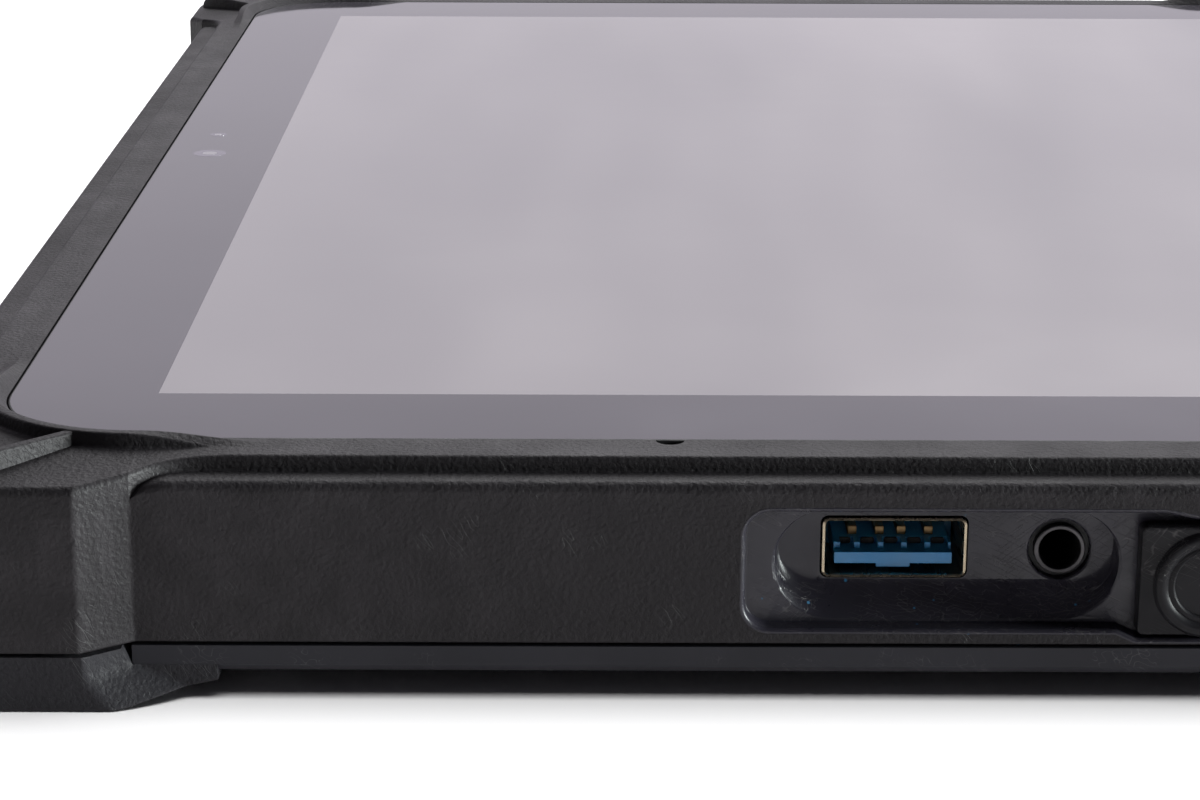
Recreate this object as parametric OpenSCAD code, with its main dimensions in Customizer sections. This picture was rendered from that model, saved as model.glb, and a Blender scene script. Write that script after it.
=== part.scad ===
// Rugged tablet data collector, lying screen up.
// +Z is up out of the screen, +Y runs along the long side, and the origin is centred under the feet.
// The near short side (towards -Y) carries the USB and audio bay and the covered power socket.

/* [Case] */
// Length of the case over its two short side faces
case_l = 263; // [258:0.5:280]
// Width of the case over its two long side faces
case_w = 190; // [186:0.5:200]
// Height of the screen's glass above the surface that the feet stand on
glass_z = 22; // [22:0.5:26]
// Height of the parting line between front frame and bottom cover
parting_z = 5.5; // [5.4:0.1:5.8]
// Wall thickness of the front frame
wall = 2.6; // [2.4:0.1:2.8]
// How far the corner guards stand out past the short side faces
guard_y = 3.2; // [2:0.1:4]
// How far the corner guards stand out past the long side faces
guard_x = 2.5; // [2:0.1:4]

/* [Screen] */
// Width of the glass rim's outer margin, from side face to glass
rail = 8.6; // [8.4:0.1:9]
// Thickness of the cover glass
glass_t = 1.1; // [0.9:0.1:1.3]
// Corner radius of the cover glass
glass_r = 14; // [12:0.5:15]
// Height of the ridges that guard the glass corners
ridge_h = 1.2; // [0.8:0.1:1.6]
// Width of the picture area
picture_w = 144.4; // [136:0.1:145]
// Length of the picture area
picture_l = 217; // [190:0.5:218]
// Sideways shift of the picture area from the middle of the glass
picture_shift = 0; // [-0.5:0.1:3]

/* [Ports] */
// Sideways place of the USB socket
usb_x = -3.45; // [-5:0.05:-3]
// Sideways place of the audio socket
audio_x = 11.55; // [11:0.05:12]
// Sideways place of the power socket
power_x = 24.35; // [24:0.05:25]
// Radius of the audio socket's bore
audio_r = 1.8; // [1.76:0.01:1.85]
// Depth of the bay's floor behind the side face
bay_depth = 4.3; // [4.1:0.1:4.6]

/* [Back] */
// Width of the removable battery pack
battery_w = 120; // [100:1:121]
// Length of the removable battery pack
battery_l = 112; // [90:1:114]
// Hole spacing of the square mounting pattern
pattern = 75; // [70:1:80]
// Radius of the threaded hole in each mounting insert
insert_hole_r = 1.65; // [1.5:0.05:1.7]

/* [Hidden] */
$fn = 48;
eps = 0.01;
fit_gap = 0.3;
glass_w = case_w - 2 * rail - 0.2;
glass_l = case_l - 2 * rail;
side_y = case_l / 2;
side_x = case_w / 2;
case_r = 10;
lip = 5.1;
ledge_z = glass_z - 1.4;
floor_z = 2.6;
cover_t = 2;
cover_chamfer = 0.8;
rim_z = parting_z - fit_gap;
glass_under = glass_z - glass_t;
tape_t = 0.5;
shelf_z = glass_under - tape_t;
shelf_t = 2;
shelf_in = 2.5;
inner_w = case_w - 2 * wall;
inner_l = case_l - 2 * wall;
inner_r = 7;

// Corner guards, measured from the corner where the two side faces would meet
guard_run = 18.7;
guard_ramp = 4.5;
guard_blend = 9.5;
guard_r = 10;
guard_top = ledge_z + 0.35;
guard_tip = guard_run + guard_ramp;
pocket_run = guard_tip + guard_blend;

// Ridges round the glass corners, and the ribs that leave them at 45 degrees
ridge_in = 1.3;
ridge_w = 1.1;
ridge_run = 28;
rib_start = [16.4, 7.4];
rib_l = 11.2;

// Display stack, from the glass down
panel_w = picture_w + 12.6;
panel_l = picture_l + 10;
panel_top = glass_under - 0.05;
panel_t = 2;
light_top = panel_top - panel_t - 0.05;
light_t = 2;
chassis_top = light_top - light_t - 0.1;
chassis_t = 1.2;

// Circuit board and what stands on it
board_w = 134;
board_x = -3;
board_near = -118;
board_far = -28;
board_top = glass_z - 11.6;
board_t = 1.6;
can_t = 2.5;

// Ports on the near side
bay_top = glass_z - 4.4;
bay_bottom = glass_z - 15.2;
bay_left = -17.1;
bay_right = 18.1;
bay_ledge = 2;
bay_r = 2.4;
pocket_left = -14.4;
pocket_right = 16.9;
pocket_top = bay_top;
pocket_bottom = glass_z - 14.6;
usb_w = 13.14;
usb_h = 5.72;
usb_z = glass_z - 8.7;
usb_t = 0.35;
usb_l = 17;
audio_z = glass_z - 8.89;
power_z = glass_z - 10.7;
cap_r = 4.9;
cap_dish_r = 3.1;
cap_proud = 0.6;
spigot_r = 2.4;
power_bore_r = 3.1;
flap_left = 18.15;
flap_t = 1.6;
bend_x = 32.2;
anchor_right = 40.6;
anchor_screw_x = 36.5;
flap_bottom = glass_z - 15.6;
flap_top = glass_z - 5.3;

microphone_x = -23.7;

// Keys on the far side: [x, width]
key_list = [[-27, 9], [-9, 12], [6, 12], [24, 9]];
key_h = 4.6;
key_z = 12;
key_out = 0.8;

// Battery bay
battery_near = -12.2;
battery_z = floor_z;
battery_t = 10;
tub_t = 1.4;
tub_gap = 0.4;
latch_xs = [-40, 40];
hook_z = 6;

// Back fittings
screw_spots = concat(
    [for (x = [-60, 60], y = [-1, 1]) [x, y * (side_y - 5.2)]],
    [for (x = [-1, 1], y = [-80, 0, 80]) [x * (side_x - 5.2), y]]);
pattern_y = -69;
insert_spots = [for (x = [-1, 1], y = [-1, 1]) [x * pattern / 2, pattern_y + y * pattern / 2]];
insert_r = 2.85;
insert_l = 5.4;
camera_spot = [-73, 96];
flash_spot = [-73, 84];
dock_spot = [79, -40];
dock_size = [12, 36];
speaker_spots = [[77, -95], [77, 95]];
speaker_size = [16, 32, 6];

shell_grey = [0.155, 0.147, 0.155];
cover_grey = [0.17, 0.165, 0.185];
rubber_black = [0.09, 0.09, 0.095];
board_green = [0.05, 0.22, 0.12];
bright_steel = [0.72, 0.7, 0.66];

// ---------- shared shapes ----------

module round_rect(w, l, r) {
    square([w - 2 * r, l], center = true);
    square([w, l - 2 * r], center = true);
    for (x = [-1, 1], y = [-1, 1])
        translate([x * (w / 2 - r), y * (l / 2 - r)]) circle(r);
}

module ring_2d(w, l, r, t) {
    difference() {
        round_rect(w, l, r);
        round_rect(w - 2 * t, l - 2 * t, max(r - t, 0.5));
    }
}

// A slab of the given height from z0 up
module slab(z0, h) {
    translate([0, 0, z0]) linear_extrude(height = h) children();
}

module block(size, at) {
    translate([at[0], at[1], at[2] + size[2] / 2]) cube(size, center = true);
}

// A rounded slot seen from the near side: x along the case, z up, cut from y0 to y0 + depth
module near_slot(left, right, bottom, top, r, y0, depth) {
    translate([(left + right) / 2, y0 + depth, (bottom + top) / 2]) rotate([90, 0, 0])
        linear_extrude(height = depth) round_rect(right - left, top - bottom, r);
}

// A round bar along Y from y0 to y0 + l
module bar_y(r, x, z, y0, l) {
    translate([x, y0 + l, z]) rotate([90, 0, 0]) cylinder(r = r, h = l);
}

// Repeats a shape drawn at the near left corner in the corner that sx and sy name
module to_corner(sx, sy) {
    mirror([sx > 0 ? 1 : 0, 0, 0]) mirror([0, sy > 0 ? 1 : 0, 0])
        translate([-side_x, -side_y, 0]) children();
}

module all_corners() {
    for (sx = [-1, 1], sy = [-1, 1]) to_corner(sx, sy) children();
}

// ---------- corner guards ----------

// Plan of a guard below the ledge, with ramps down to both side faces
module guard_2d() {
    difference() {
        polygon([[-guard_x, -guard_y], [guard_run, -guard_y], [guard_tip, eps], [guard_tip, 9],
            [9, guard_tip], [eps, guard_tip], [-guard_x, guard_run]]);
        translate([-guard_x, -guard_y]) square(guard_r);
    }
    translate([guard_r - guard_x, guard_r - guard_y]) circle(guard_r);
}

// How far the guard's top edge has swung in from the side face, t running from 0 to 1
function swing(t) = (rail - lip) * (1 - pow(1 - t, 4));

// Plan of a guard's top, whose edge swings in along an S to the lip round the glass
module guard_top_2d() {
    steps = 8;
    near = [for (i = [0 : steps]) [guard_tip + guard_blend * i / steps, swing(i / steps)]];
    side = [for (i = [steps : -1 : 0]) [swing(i / steps), guard_tip + guard_blend * i / steps]];
    difference() {
        polygon(concat([[-guard_x, -guard_y], [guard_run, -guard_y]], near,
            [[pocket_run, rail + 2], [rail + 2, pocket_run]], side, [[-guard_x, guard_run]]));
        translate([-guard_x, -guard_y]) square(guard_r);
    }
    translate([guard_r - guard_x, guard_r - guard_y]) circle(guard_r);
}

// One offset outline of the glass corner, seen from the guard's corner
module glass_corner_2d(out) {
    centre = rail + glass_r;
    translate([centre, centre]) circle(glass_r + out);
    translate([centre, rail - out]) square([3 * glass_r, 4 * glass_r]);
    translate([rail - out, centre]) square([4 * glass_r, 3 * glass_r]);
}

// The ridge that bends round a glass corner, and two ribs from it to the guard's outer edge
module corner_ridge_2d() {
    difference() {
        intersection() {
            glass_corner_2d(ridge_in + ridge_w);
            square(ridge_run);
        }
        glass_corner_2d(ridge_in);
    }
    for (m = [0, 1]) mirror([m, -m]) translate(rib_start) rotate(225)
        translate([-0.6, -ridge_w / 2]) square([rib_l, ridge_w]);
}

// ---------- enclosure ----------

module frame_walls() {
    slab(parting_z, ledge_z - parting_z) {
        round_rect(case_w, case_l, case_r);
        all_corners() guard_2d();
    }
    slab(ledge_z - eps, guard_top - ledge_z + eps) {
        round_rect(glass_w + 2 * lip, glass_l + 2 * lip, glass_r + lip);
        all_corners() guard_top_2d();
    }
    slab(guard_top - eps, glass_z - guard_top + eps) difference() {
        round_rect(glass_w + 2 * lip, glass_l + 2 * lip, glass_r + lip);
        all_corners() translate([-1, -1]) square(pocket_run - 4);
    }
    slab(guard_top - eps, glass_z + ridge_h - guard_top + eps) all_corners() corner_ridge_2d();
}

// Thick wall behind the ports
module port_block() {
    near_slot(-24, 46, parting_z, shelf_z - eps, 1, -side_y + 1, 6.6);
}

module frame_bosses() {
    for (p = screw_spots) translate([p[0], p[1], floor_z + cover_t])
        cylinder(r = 2.5, h = shelf_z - floor_z - cover_t - eps);
}

module bay_cuts() {
    face = -side_y - 1;
    near_slot(bay_left, bay_right + 4, bay_bottom, bay_top, bay_r, face, 1 + bay_ledge);
    near_slot(pocket_left, pocket_right, pocket_bottom, pocket_top, 4.8, face, 1 + bay_depth);
    near_slot(bay_right - 0.3, anchor_right + 0.3, flap_bottom - fit_gap, flap_top + fit_gap, 0.6,
        face, 1 + bay_ledge);
    near_slot(usb_x - usb_w / 2, usb_x + usb_w / 2, usb_z - usb_h / 2, usb_z + usb_h / 2, 0.6,
        face, 12);
    bar_y(2.9, audio_x, audio_z, face, 12);
    bar_y(4.3, power_x, power_z, face, 12);
    bar_y(0.8, anchor_screw_x, power_z, face, 8);
}

// Small opening in the lip at the glass edge, over the microphone
module microphone_notch() {
    translate([microphone_x, -glass_l / 2 - 0.1, glass_z - 1]) cylinder(r = 1.35, h = 2);
}

module key_cuts() {
    for (k = key_list)
        near_slot(k[0] - k[1] / 2 - fit_gap, k[0] + k[1] / 2 + fit_gap, key_z - key_h / 2 - fit_gap,
            key_z + key_h / 2 + fit_gap, 1.5, side_y - wall - 1, wall + 2);
}

module front_frame() {
    color(shell_grey) difference() {
        union() {
            difference() {
                frame_walls();
                slab(parting_z - 1, shelf_z - shelf_t - parting_z + 1)
                    round_rect(inner_w, inner_l, inner_r);
            }
            port_block();
            frame_bosses();
        }
        slab(shelf_z - shelf_t - 1, shelf_t + 2)
            round_rect(glass_w - 2 * shelf_in, glass_l - 2 * shelf_in, glass_r - shelf_in);
        slab(shelf_z, 4) round_rect(glass_w + 0.2, glass_l + 0.2, glass_r + 0.1);
        slab(parting_z - eps, 0.15 + eps) ring_2d(case_w - 1.8, case_l - 1.8, case_r, 1);
        for (p = screw_spots) translate([p[0], p[1], floor_z]) cylinder(r = 1.2, h = 9);
        bay_cuts();
        key_cuts();
        microphone_notch();
    }
}

module latch_pocket(x) {
    block([23, 14.4, 4.5], [x, -20.2, floor_z + cover_t - eps]);
}

module latch_cut(x) {
    block([17, 12.2, 6], [x, -20.1, floor_z - 1]);
    block([19.8, 12.2, 2.2], [x, -20.1, 4.7]);
    block([10.8, 6, 2.6], [x, -13, 4.4]);
}

module cover_tub() {
    w = battery_w + 2 * tub_gap;
    l = battery_l + 2 * tub_gap;
    y = battery_near + battery_l / 2;
    difference() {
        block([w + 2 * tub_t, l + 2 * tub_t, battery_t + tub_gap + tub_t], [0, y, floor_z]);
        block([w, l, battery_t + tub_gap + 1], [0, y, floor_z - 1]);
        block([25, 3, 2.4], [0, battery_near + battery_l + 1.4, hook_z - 0.4]);
    }
}

module speaker_holes() {
    for (p = speaker_spots, i = [-1 : 1], j = [-4 : 4])
        translate([p[0] + 3 * i, p[1] + 3 * j, floor_z - 1]) cylinder(r = 0.7, h = 4, $fn = 24);
}

// Room that a corner foot takes out of the bottom cover
module foot_seat_2d() {
    translate([-4, -4]) square([26.9, 10.3]);
    translate([-4, -4]) square([10.3, 26.9]);
}

// Bars along the cover's lower edges, turned to leave a 45 degree chamfer
module cover_edge_cuts() {
    c = cover_chamfer * sqrt(2);
    for (y = [-1, 1]) translate([0, y * side_y, floor_z]) rotate([45, 0, 0])
        cube([case_w + 2, c, c], center = true);
    for (x = [-1, 1]) translate([x * side_x, 0, floor_z]) rotate([0, 45, 0])
        cube([c, case_l + 2, c], center = true);
}

module bottom_cover() {
    y = battery_near + battery_l / 2;
    color(cover_grey) difference() {
        union() {
            difference() {
                slab(floor_z, rim_z - floor_z) round_rect(case_w, case_l, case_r);
                slab(floor_z + cover_t, 4) round_rect(inner_w, inner_l, inner_r);
                block([battery_w + 2 * tub_gap, battery_l + 2 * tub_gap, 5], [0, y, floor_z - 1]);
            }
            cover_tub();
            for (x = latch_xs) latch_pocket(x);
            for (p = insert_spots) translate([p[0], p[1], floor_z + 1]) cylinder(r = 4.4, h = 4.8);
            slab(floor_z + 1, 2.5) translate(camera_spot) circle(7.5);
        }
        all_corners() slab(floor_z - 1, 5) foot_seat_2d();
        cover_edge_cuts();
        slab(rim_z - 0.2, 1) ring_2d(case_w - 1.8, case_l - 1.8, case_r, 1);
        for (p = screw_spots) translate([p[0], p[1], floor_z]) {
            translate([0, 0, -1]) cylinder(r = 1.35, h = 5);
            translate([0, 0, -1]) cylinder(r = 2.6, h = 2);
        }
        for (p = insert_spots) translate([p[0], p[1], floor_z - 1]) cylinder(r = insert_r, h = 6.6);
        for (x = latch_xs) latch_cut(x);
        translate([0, 0, floor_z - 1]) {
            translate(camera_spot) cylinder(r = 5.1, h = 2.1);
            translate(camera_spot) cylinder(r = 3.6, h = 5);
            translate(flash_spot) cylinder(r = 2.1, h = 5);
        }
        slab(floor_z - 1, 5) translate(dock_spot) square(dock_size + [0.2, 0.2], center = true);
        speaker_holes();
    }
}

module case_seal() {
    color(rubber_black) difference() {
        slab(rim_z - 0.15, parting_z - rim_z + 0.25) ring_2d(case_w - 2, case_l - 2, case_r - 0.1, 0.8);
        all_corners() slab(rim_z - 1, 2) foot_seat_2d();
    }
}

// Foot at the near left corner: a block under the guard with two arms that taper up to the cover
module foot() {
    arm = 30.7;
    rise = floor_z - 0.6;
    difference() {
        union() {
            slab(0, rim_z) intersection() {
                guard_2d();
                translate([-4, -4]) union() {
                    square([26, 10]);
                    square([10, 26]);
                }
            }
            slab(0, floor_z - 0.05) intersection() {
                union() {
                    guard_2d();
                    translate([0, 1]) square([arm, 12]);
                    translate([1, 0]) square([12, arm]);
                }
                union() {
                    translate([-4, -4]) square([arm + 4, 16]);
                    translate([-4, -4]) square([16, arm + 4]);
                }
            }
        }
        foot_taper(arm, rise);
        mirror([1, -1, 0]) foot_taper(arm, rise);
    }
}

// Wedge cut from under a foot's arm
module foot_taper(arm, rise) {
    start = 21.7;
    translate([0, 40, 0]) rotate([90, 0, 0]) linear_extrude(height = 50)
        polygon([[start, -eps], [arm + 1, -eps], [arm + 1, floor_z], [arm - 0.3, rise + 0.4],
            [arm - 1.2, rise]]);
}

module foot_near_left() {
    color(rubber_black) to_corner(-1, -1) foot();
}

module foot_near_right() {
    color(rubber_black) to_corner(1, -1) foot();
}

module foot_far_left() {
    color(rubber_black) to_corner(-1, 1) foot();
}

module foot_far_right() {
    color(rubber_black) to_corner(1, 1) foot();
}

// ---------- display ----------

module cover_glass() {
    color([0.35, 0.34, 0.37]) slab(glass_under, glass_t) round_rect(glass_w, glass_l, glass_r);
}

module glass_tape() {
    color(rubber_black) slab(shelf_z, tape_t) ring_2d(glass_w - 0.6, glass_l - 0.6, glass_r, 1.9);
}

module lcd_panel() {
    color([0.72, 0.7, 0.73])
        block([panel_w, panel_l, panel_t], [picture_shift + 0.6, 0, panel_top - panel_t]);
}

module backlight_unit() {
    color([0.85, 0.86, 0.88])
        block([panel_w, panel_l, light_t], [picture_shift + 0.6, 0, light_top - light_t]);
}

module chassis_plate() {
    plate_z = chassis_top - chassis_t;
    color([0.55, 0.56, 0.58]) difference() {
        slab(plate_z, chassis_t) round_rect(166, 238, 6);
        block([62, 24, 4], [8, -118, plate_z - 1]);
        for (x = [-60, 60]) block([9, 20, 4], [x, -121, plate_z - 1]);
    }
}

module front_camera() {
    x = -glass_w / 2 + 5.7;
    color("black") {
        block([4.8, 6, 3.4], [x, 1.1, chassis_top]);
        translate([x, 1.1, chassis_top + 3.4 - eps])
            cylinder(r = 2.2, h = glass_under - chassis_top - 3.45);
    }
}

module light_sensor() {
    color([0.2, 0.2, 0.25]) block([2.6, 3.4, 4], [-glass_w / 2 + 5.4, 13, chassis_top]);
}

// ---------- ports ----------

module usb_shell() {
    face = -side_y + bay_depth - 0.35;
    color(bright_steel) difference() {
        near_slot(usb_x - usb_w / 2, usb_x + usb_w / 2, usb_z - usb_h / 2, usb_z + usb_h / 2, 0.6,
            face, usb_l);
        near_slot(usb_x - usb_w / 2 + usb_t, usb_x + usb_w / 2 - usb_t, usb_z - usb_h / 2 + usb_t,
            usb_z + usb_h / 2 - usb_t, 0.35, face - 1, usb_l);
    }
}

module usb_tongue() {
    back = -side_y + bay_depth + 15;
    color([0.12, 0.45, 0.68]) {
        block([11.1, 14.6, 1.85], [usb_x, back - 7.3, usb_z - 1.7]);
        block([4, 14.6, 0.45], [usb_x, back - 7.3, usb_z - 2.14]);
        block([12.3, 0.8, 4.9], [usb_x, back + 0.15, usb_z - 2.45]);
    }
}

module usb_contacts() {
    back = -side_y + bay_depth + 15;
    color([0.85, 0.65, 0.3]) for (x = [-3.5, -1, 1, 3.5])
        block([1, 9, 0.25], [usb_x + x, back - 5.2, usb_z + 0.17]);
}

module audio_socket() {
    face = -side_y + bay_depth + 0.2;
    color("black") difference() {
        union() {
            bar_y(2.85, audio_x, audio_z, face, 4);
            block([6.6, 11, 5.3], [audio_x, face + 8.8, audio_z - 2.65]);
        }
        bar_y(audio_r, audio_x, audio_z, face - 1, 14.5);
    }
}

module audio_rim() {
    face = -side_y + bay_depth - 0.1;
    color([0.5, 0.48, 0.46]) difference() {
        bar_y(2.35, audio_x, audio_z, face, 0.3 - eps);
        bar_y(audio_r, audio_x, audio_z, face - 1, 3);
    }
}

module power_socket() {
    face = -side_y + bay_ledge + 0.1;
    color("black") difference() {
        bar_y(4.3, power_x, power_z, face, 10.2);
        bar_y(power_bore_r, power_x, power_z, face - 1, 9);
        bar_y(1, power_x, power_z, face + 7, 2);
    }
}

module power_pin() {
    color(bright_steel) bar_y(1, power_x, power_z, -side_y + bay_ledge + 3.6, 5.4);
}

// Rubber flap with a dished round cap, whose spigot sits in the power socket
module power_cover() {
    back = -side_y + bay_ledge - fit_gap;
    color(rubber_black) difference() {
        union() {
            near_slot(flap_left, bend_x - 0.2, flap_bottom, flap_top, 0.5, back - flap_t, flap_t);
            bar_y(cap_r, power_x, power_z, back - flap_t - cap_proud, 1);
            bar_y(spigot_r, power_x, power_z, back - eps, 2.6);
        }
        bar_y(cap_dish_r, power_x, power_z, back - flap_t - 1.6, 2.1);
    }
}

module cover_anchor() {
    back = -side_y + bay_ledge - eps;
    color(rubber_black) difference() {
        near_slot(bend_x + 0.2, anchor_right, flap_bottom, flap_top, 0.5, back - flap_t - 0.2,
            flap_t + 0.2);
        bar_y(0.85, anchor_screw_x, power_z, back - 3, 4);
        bar_y(1.9, anchor_screw_x, power_z, back - 3, 2.1);
    }
}

module anchor_screw() {
    back = -side_y + bay_ledge;
    color(bright_steel) difference() {
        union() {
            bar_y(1.8, anchor_screw_x, power_z, back - 1.75, 0.8);
            bar_y(0.78, anchor_screw_x, power_z, back - 1, 5);
        }
        bar_y(0.6, anchor_screw_x, power_z, back - 2, 0.7);
    }
}

// ---------- electronics ----------

module main_board() {
    color(board_green) difference() {
        block([board_w, board_far - board_near, board_t],
            [board_x, (board_near + board_far) / 2, board_top - board_t]);
        for (x = [-62, 56], y = [-112, -34]) translate([x, y, 0]) cylinder(r = 1.5, h = 20);
    }
}

module shield_cans() {
    color([0.7, 0.71, 0.72]) {
        block([44, 34, can_t], [-30, -70, board_top]);
        block([22, 22, can_t], [10, -84, board_top]);
    }
}

module heat_spreader() {
    z = board_top + can_t;
    color([0.72, 0.45, 0.3]) block([60, 34, chassis_top - chassis_t - z - 0.1], [-24, -70, z + 0.05]);
}

module storage_card() {
    color([0.04, 0.1, 0.22]) block([22, 42, 2.2], [44, -62, board_top + 0.05]);
}

module radio_card() {
    color([0.04, 0.12, 0.16]) block([22, 30, 2.2], [18, -50, board_top + 0.05]);
}

module gnss_module() {
    color([0.75, 0.75, 0.74]) block([17, 22, 2.4], [44, -102, board_top + 0.05]);
}

module gnss_antenna() {
    color([0.85, 0.8, 0.66]) block([18, 18, 4], [76, 5, floor_z + cover_t + 4]);
}

module radio_antenna() {
    color([0.6, 0.4, 0.2]) block([8, 46, 0.8], [-77, -20, floor_z + cover_t + 6]);
}

module speaker(at) {
    color([0.16, 0.16, 0.17]) block(speaker_size, [at[0], at[1], floor_z + cover_t + 0.05]);
}

module speaker_near() {
    speaker(speaker_spots[0]);
}

module speaker_far() {
    speaker(speaker_spots[1]);
}

// ---------- battery ----------

module battery_pack() {
    y = battery_near + battery_l / 2;
    color(cover_grey) difference() {
        block([battery_w, battery_l, battery_t], [0, y, battery_z]);
        for (x = latch_xs) block([11.4, 9, 3], [x, battery_near, 4.2]);
        block([30, 1.6, 4], [0, battery_near, battery_z + battery_t - 4]);
        block([44, 9, 1.2], [0, battery_near + battery_l - 8, battery_z - eps]);
    }
    color(cover_grey) block([24, 1.6, 1.6], [0, battery_near + battery_l + 0.6, hook_z]);
}

module battery_terminals() {
    y = battery_near - tub_gap - tub_t - 2.6;
    color("black") block([26, 5.2, 3], [0, y, battery_z + battery_t - 3.2]);
}

// Sliding latch, drawn about x = 0
module latch() {
    color(rubber_black) {
        difference() {
            block([16, 7.4, 3.6], [0, -18, 3]);
            for (i = [-2 : 2]) block([12, 0.7, 0.6], [0, -18 + 1.3 * i, 3 - 0.3]);
        }
        block([18.8, 7.4, 1.5], [0, -18, 5.1]);
        block([10, 5.4, 1.8], [0, -11.9, 4.8]);
    }
}

module latch_left() {
    translate([latch_xs[0], 0, 0]) latch();
}

module latch_right() {
    translate([latch_xs[1], 0, 0]) latch();
}

// ---------- back fittings ----------

module rear_camera() {
    color("black") translate([camera_spot[0], camera_spot[1], 0]) {
        block([9, 9, 4], [0, 0, floor_z + 3.6]);
        translate([0, 0, floor_z + 1.3]) cylinder(r = 3.4, h = 2.4);
    }
}

module camera_window() {
    color([0.1, 0.1, 0.12]) slab(floor_z, 1.1) translate(camera_spot) circle(5);
}

module flash_lens() {
    color([0.95, 0.93, 0.8]) slab(floor_z + 0.1, 1.9) translate(flash_spot) circle(2);
}

module dock_block() {
    color("black") difference() {
        slab(floor_z + 0.5, 4) translate(dock_spot) square(dock_size, center = true);
        dock_rows(1.02, 3);
    }
}

module dock_rows(r, h) {
    for (i = [0 : 1], j = [0 : 5])
        translate([dock_spot[0] - 2.5 + 5 * i, dock_spot[1] - 12.5 + 5 * j, floor_z + 0.3])
            cylinder(r = r, h = h);
}

module dock_contacts() {
    color([0.9, 0.72, 0.35]) dock_rows(1, 2.9);
}

module case_screws() {
    color([0.2, 0.2, 0.21]) for (p = screw_spots) translate([p[0], p[1], floor_z]) difference() {
        union() {
            cylinder(r = 2.4, h = 0.95);
            cylinder(r = 1.15, h = 8);
        }
        translate([0, 0, -eps]) cylinder(r = 0.8, h = 0.6, $fn = 6);
    }
}

module board_screws() {
    color(bright_steel) for (x = [-62, 56], y = [-112, -34]) translate([x, y, board_top]) {
        cylinder(r = 2.4, h = 1.2);
        translate([0, 0, -3]) cylinder(r = 1.2, h = 3 + eps);
    }
}

module mount_inserts() {
    color([0.78, 0.62, 0.3]) for (p = insert_spots) translate([p[0], p[1], floor_z]) difference() {
        cylinder(r = insert_r, h = insert_l);
        translate([0, 0, -1]) cylinder(r = insert_hole_r, h = insert_l + 2);
    }
}

// ---------- keys ----------

// Key cap with a flange inside the wall
module key_cap(k) {
    x = k[0];
    w = k[1];
    color(rubber_black) {
        near_slot(x - w / 2, x + w / 2, key_z - key_h / 2, key_z + key_h / 2, 1.2,
            side_y - wall - 1.2, wall + 1.2 + key_out);
        near_slot(x - w / 2 - 0.8, x + w / 2 + 0.8, key_z - key_h / 2 - 0.8, key_z + key_h / 2 + 0.8,
            1.2, side_y - wall - 1.4, 1.1);
    }
}

module power_key() {
    key_cap(key_list[0]);
}

module volume_up_key() {
    key_cap(key_list[1]);
}

module volume_down_key() {
    key_cap(key_list[2]);
}

module function_key() {
    key_cap(key_list[3]);
}

module key_mat() {
    color(rubber_black) block([70, 0.6, 9], [-2, side_y - wall - 2.5, key_z - 4.5]);
}

module key_switches() {
    color([0.75, 0.75, 0.76]) for (k = key_list)
        block([5, 1.6, 4], [k[0], side_y - wall - 3.65, key_z - 2]);
}

module key_board() {
    color(board_green) block([72, 1, 9], [-2, side_y - wall - 5, key_z - 4.5]);
}

front_frame();
bottom_cover();
case_seal();
foot_near_left();
foot_near_right();
foot_far_left();
foot_far_right();
cover_glass();
glass_tape();
lcd_panel();
backlight_unit();
chassis_plate();
front_camera();
light_sensor();
usb_shell();
usb_tongue();
usb_contacts();
audio_socket();
audio_rim();
power_socket();
power_pin();
power_cover();
cover_anchor();
anchor_screw();
main_board();
shield_cans();
heat_spreader();
storage_card();
radio_card();
gnss_module();
gnss_antenna();
radio_antenna();
speaker_near();
speaker_far();
battery_pack();
battery_terminals();
latch_left();
latch_right();
rear_camera();
camera_window();
flash_lens();
dock_block();
dock_contacts();
case_screws();
board_screws();
mount_inserts();
power_key();
volume_up_key();
volume_down_key();
function_key();
key_mat();
key_switches();
key_board();
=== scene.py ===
import math
import bmesh
import bpy
import numpy as np
from mathutils import Matrix, Vector


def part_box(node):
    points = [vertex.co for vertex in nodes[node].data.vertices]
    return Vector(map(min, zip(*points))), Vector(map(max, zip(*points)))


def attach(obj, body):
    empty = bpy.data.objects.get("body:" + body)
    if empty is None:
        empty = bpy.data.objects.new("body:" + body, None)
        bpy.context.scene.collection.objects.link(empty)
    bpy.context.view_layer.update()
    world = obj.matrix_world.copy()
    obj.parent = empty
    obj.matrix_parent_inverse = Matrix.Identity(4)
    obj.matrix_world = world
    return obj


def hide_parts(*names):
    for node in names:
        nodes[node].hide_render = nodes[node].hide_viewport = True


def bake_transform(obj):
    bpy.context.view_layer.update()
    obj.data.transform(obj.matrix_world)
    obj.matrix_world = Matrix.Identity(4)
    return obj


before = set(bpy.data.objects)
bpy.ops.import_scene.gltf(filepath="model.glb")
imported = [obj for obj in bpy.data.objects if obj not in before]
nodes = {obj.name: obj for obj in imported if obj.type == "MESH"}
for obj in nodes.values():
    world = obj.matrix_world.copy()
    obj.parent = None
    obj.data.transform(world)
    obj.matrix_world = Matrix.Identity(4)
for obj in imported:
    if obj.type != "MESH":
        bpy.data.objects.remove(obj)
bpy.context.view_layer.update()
MM = 0.001
CASE = "case"


def box_mm(node):
    """A CAD node's lowest and highest corner, in millimetres."""
    lo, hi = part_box(node)
    return np.array(lo) / MM, np.array(hi) / MM


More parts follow.
